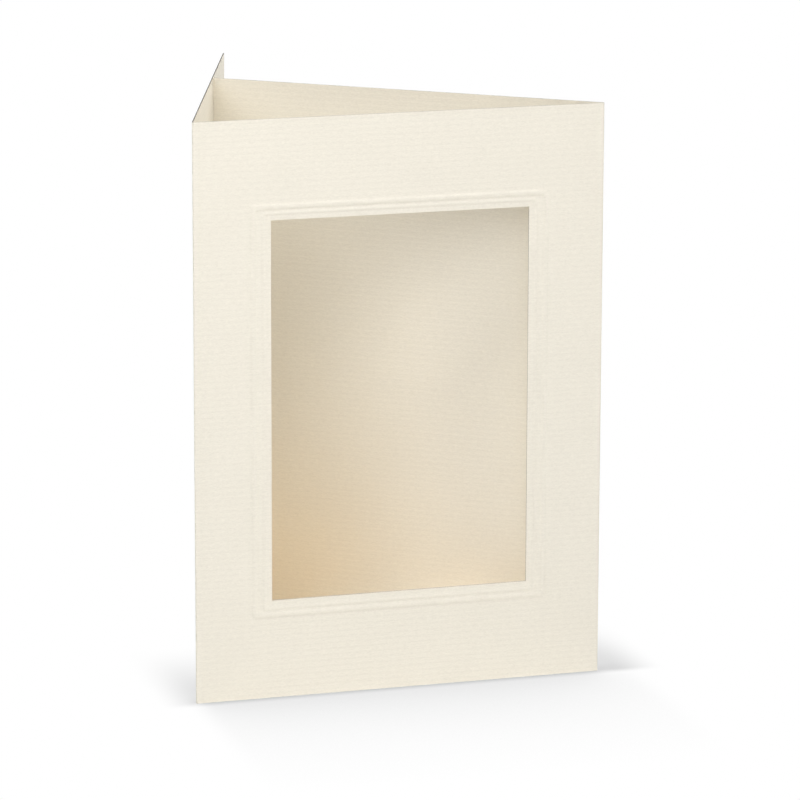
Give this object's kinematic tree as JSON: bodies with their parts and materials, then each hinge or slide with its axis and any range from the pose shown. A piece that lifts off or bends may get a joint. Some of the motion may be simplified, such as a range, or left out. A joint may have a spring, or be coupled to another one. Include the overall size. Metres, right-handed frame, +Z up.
{
  "type": "passe-partout card",
  "caption": "Folded ribbed card standing open, with a rectangular window in an embossed frame and an inner backing flap behind it.",
  "frame": {"origin": "middle of the bounding box at the level that the card stands on", "axes": "+Z up along the folds, -Y out of the framed front panel, +X to the right seen from the front"},
  "size_m": [0.1216, 0.1162, 0.169],
  "materials": {
    "card_stock": "matt ribbed ivory card"
  },
  "bodies": {
    "root": {"folded_card": "card_stock"}
  },
  "joints": []
}
